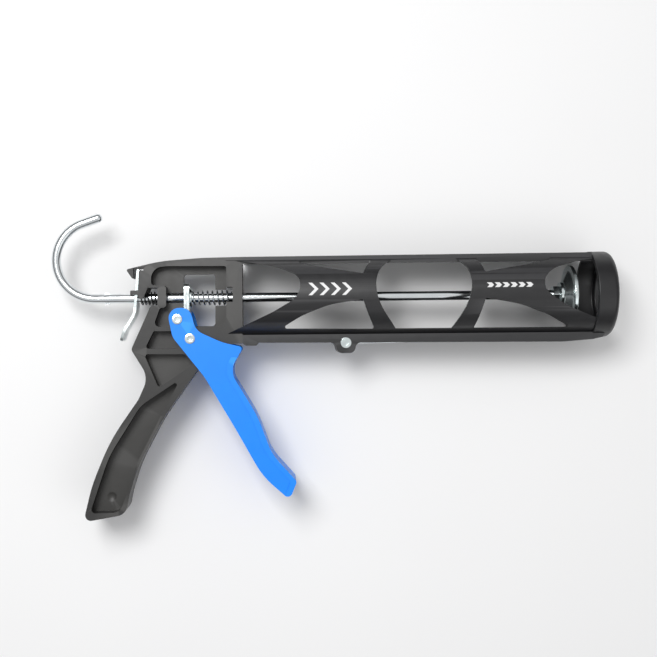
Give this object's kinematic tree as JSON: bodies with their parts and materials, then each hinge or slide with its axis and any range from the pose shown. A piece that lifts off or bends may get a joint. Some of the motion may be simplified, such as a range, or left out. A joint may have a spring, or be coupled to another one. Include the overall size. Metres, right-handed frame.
{
  "type": "skeleton caulking gun",
  "caption": "Hand caulking gun: open moulded cradle with a front ring, hooked push rod with a dished plunger, blue trigger with a gripping plate drive, release lever and a folding seal punch.",
  "frame": {"origin": "on the barrel axis, at the face that the cartridge's base stands against", "axes": "+X along the barrel to the front ring, +Y up the gun away from the grip, +Z out of its right-hand side; the gun lies on its left side, which faces -Z"},
  "size_m": [0.386, 0.2111, 0.059],
  "materials": {
    "frame_plastic": "satin, lightly textured",
    "trigger_plastic": "satin",
    "steel": "bright zinc plate",
    "spring_steel": "drawn wire"
  },
  "bodies": {
    "frame": {"handle_frame": "frame_plastic", "barrel_cradle": "frame_plastic", "front_ring": "frame_plastic", "punch_rivet": "steel", "drive_spring": "spring_steel", "release_spring": "spring_steel"},
    "trigger": {"trigger": "trigger_plastic", "pivot_pin": "steel", "drive_pin": "steel"},
    "drive": {"drive_plate_rear": "steel", "drive_plate_front": "steel", "spring_washer": "steel"},
    "lever": {"release_lever": "steel"},
    "plunger": {"plunger_disc": "steel"},
    "rod": {"push_rod": "steel", "plunger_nut": "steel", "plunger_washer": "steel", "end_washer": "steel", "end_nut": "steel"},
    "punch": {"seal_punch": "steel"}
  },
  "joints": [
    {"name": "trigger_pivot", "type": "hinge", "parent": "frame", "child": "trigger", "pos_m": [-0.0358, -0.0281, 0], "axis": [0, 0, -1], "range_deg": [0, 42]},
    {"name": "drive_slide", "type": "slide", "parent": "frame", "child": "drive", "axis": [1, 0, 0], "range_m": [0, 0.0098], "stiffness_N_per_m": 300, "springref_m": -0.01, "deforming": ["drive_spring"]},
    {"name": "rod_slide", "type": "slide", "parent": "frame", "child": "plunger", "axis": [1, 0, 0], "range_m": [-0.209, 0.017]},
    {"name": "rod_spin", "type": "hinge", "parent": "plunger", "child": "rod", "pos_m": [0, 0, 0], "axis": [1, 0, 0], "continuous": true},
    {"name": "release_hinge", "type": "hinge", "parent": "frame", "child": "lever", "pos_m": [-0.07134, 0.01909, 0], "axis": [0, 0, 1], "range_deg": [0, 7], "deforming": ["release_spring"]},
    {"name": "punch_hinge", "type": "hinge", "parent": "frame", "child": "punch", "pos_m": [0.0706, -0.0319, 0], "axis": [0, 0, -1], "range_deg": [0, 120]}
  ],
  "couplings": [
    {"joint": "drive_slide", "follows": "trigger_pivot", "m_per_rad": 0.01337}
  ]
}
